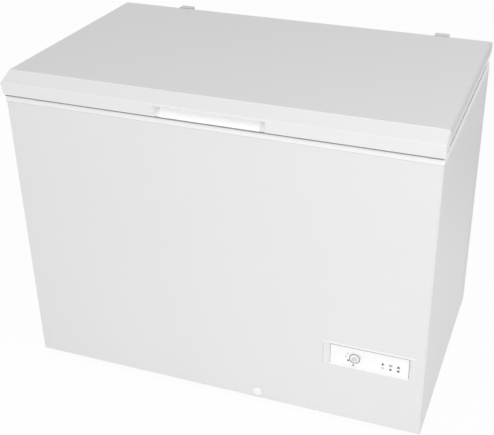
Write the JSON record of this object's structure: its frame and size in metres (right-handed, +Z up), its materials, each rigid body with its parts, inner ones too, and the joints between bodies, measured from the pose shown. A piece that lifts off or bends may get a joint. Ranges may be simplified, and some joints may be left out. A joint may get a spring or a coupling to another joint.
{
  "type": "chest freezer",
  "caption": "White chest freezer with a hinged foamed lid, recessed handle, front dial panel, drain, wire basket, compressor space and rear cover.",
  "frame": {"origin": "on the floor under the centre of the overall box", "axes": "+Z up, +X to the user's right along the cabinet's length, -Y towards the user"},
  "size_m": [1.186, 0.736, 0.916],
  "materials": {
    "white_sheet": "smooth white enamel",
    "white_plastic": "satin white moulding",
    "trim_white": "brighter white trim",
    "liner_metal": "embossed sheet",
    "foam": "rigid insulation foam",
    "galvanised": "zinc-coated sheet",
    "pin_steel": "bright steel",
    "compressor_paint": "black paint",
    "copper": "drawn copper",
    "gasket_rubber": "soft grey seal",
    "black_rubber": "black",
    "dark_plastic": "plain black moulding",
    "inner_plastic": "plain moulding",
    "board": "circuit board",
    "lamp_pipe": "tinted light pipe",
    "lamp_cover": "frosted",
    "basket_wire": "coated wire"
  },
  "bodies": {
    "cabinet": {"outer_wrapper": "white_sheet", "back_panel": "white_sheet", "base_tray": "galvanised", "inner_liner": "liner_metal", "top_rim": "white_plastic", "cabinet_foam": "foam", "evaporator_coil": "copper", "condenser_coil": "copper", "drain_tube": "inner_plastic", "feet": "black_rubber", "machine_box": "galvanised", "machine_floor": "galvanised", "compressor_base": "galvanised", "compressor_grommets": "black_rubber", "compressor_nuts": "galvanised", "compressor_lower_shell": "compressor_paint", "compressor_upper_shell": "compressor_paint", "relay_box": "dark_plastic", "suction_pipe": "copper", "discharge_pipe": "copper", "filter_drier": "copper", "condenser_outlet": "copper", "capillary_tube": "copper", "rear_grille": "white_sheet", "cord_gland": "dark_plastic", "control_bezel": "white_plastic", "control_plate": "trim_white", "control_housing": "inner_plastic", "thermostat": "dark_plastic", "indicator_lamps": "lamp_pipe", "control_board": "board", "hinge_bracket_left": "galvanised", "hinge_bracket_right": "galvanised", "hinge_pins": "pin_steel", "hinge_springs": "pin_steel"},
    "lid": {"lid_front_fascia": "white_plastic", "handle_grip": "trim_white", "lid_top_panel": "white_sheet", "lid_frame": "white_plastic", "lid_inner_liner": "white_plastic", "lid_foam": "foam", "lid_gasket": "gasket_rubber", "lid_lamp_base": "lamp_cover", "lid_lamp_lens": "lamp_cover", "hinge_leaf_left": "galvanised", "hinge_leaf_right": "galvanised", "hinge_cover_left": "white_plastic", "hinge_cover_right": "white_plastic"},
    "hinge_plungers": {"hinge_plungers": "pin_steel"},
    "thermostat_knob": {"thermostat_knob": "trim_white"},
    "drain_cap": {"drain_cap": "white_plastic"},
    "drain_plug": {"drain_plug": "white_plastic"},
    "basket": {"basket_hoop": "basket_wire", "basket_hangers": "basket_wire", "basket_side_wires": "basket_wire", "basket_floor_wires": "basket_wire"}
  },
  "joints": [
    {"name": "lid_hinge", "type": "hinge", "parent": "cabinet", "child": "lid", "pos_m": [0, 0.3545, 0.862], "axis": [-1, 0, 0], "range_deg": [0, 80]},
    {"name": "plunger_slide", "type": "slide", "parent": "cabinet", "child": "hinge_plungers", "axis": [0, 0, 1], "range_m": [0, 0.005], "deforming": ["hinge_springs"]},
    {"name": "knob_turn", "type": "hinge", "parent": "cabinet", "child": "thermostat_knob", "pos_m": [0.3976, -0.35, 0.2289], "axis": [0, 1, 0], "range_deg": [0, 270]},
    {"name": "drain_cap_pull", "type": "slide", "parent": "cabinet", "child": "drain_cap", "axis": [0, -1, 0], "range_m": [0, 0.03]},
    {"name": "drain_plug_lift", "type": "slide", "parent": "cabinet", "child": "drain_plug", "axis": [0, 0, 1], "range_m": [0, 0.03]},
    {"name": "basket_slide", "type": "slide", "parent": "cabinet", "child": "basket", "axis": [1, 0, 0], "range_m": [0, 0.754]}
  ],
  "couplings": [
    {"joint": "plunger_slide", "follows": "lid_hinge", "m_per_rad": 0.0034377}
  ]
}
